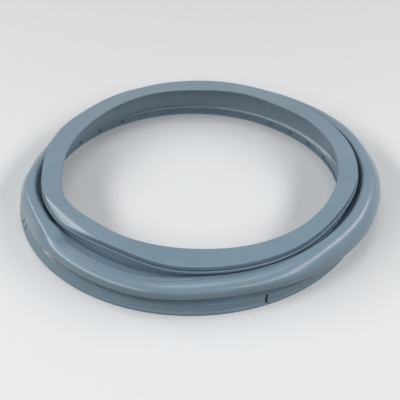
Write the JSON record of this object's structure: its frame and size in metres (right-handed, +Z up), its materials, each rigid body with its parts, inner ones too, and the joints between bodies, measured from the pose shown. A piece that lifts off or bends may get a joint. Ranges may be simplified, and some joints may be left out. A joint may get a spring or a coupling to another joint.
{
  "type": "washing machine door seal",
  "caption": "Moulded rubber bellows ring with a flat sealing collar, a rolled outer fold and a channelled tub flange.",
  "frame": {"origin": "centre of the ring's bounding box, on the surface that it lies on", "axes": "+Z runs up along the ring's axis, from the tub flange to the collar that meets the door. Seen from above with +Y up the page, the ribbed stretch of the fold is at the lower left and the slit in the flange at the lower right."},
  "size_m": [0.3706, 0.3592, 0.0444],
  "materials": {
    "rubber": "satin moulded grey rubber"
  },
  "bodies": {
    "root": {"door_seal": "rubber"}
  },
  "joints": []
}
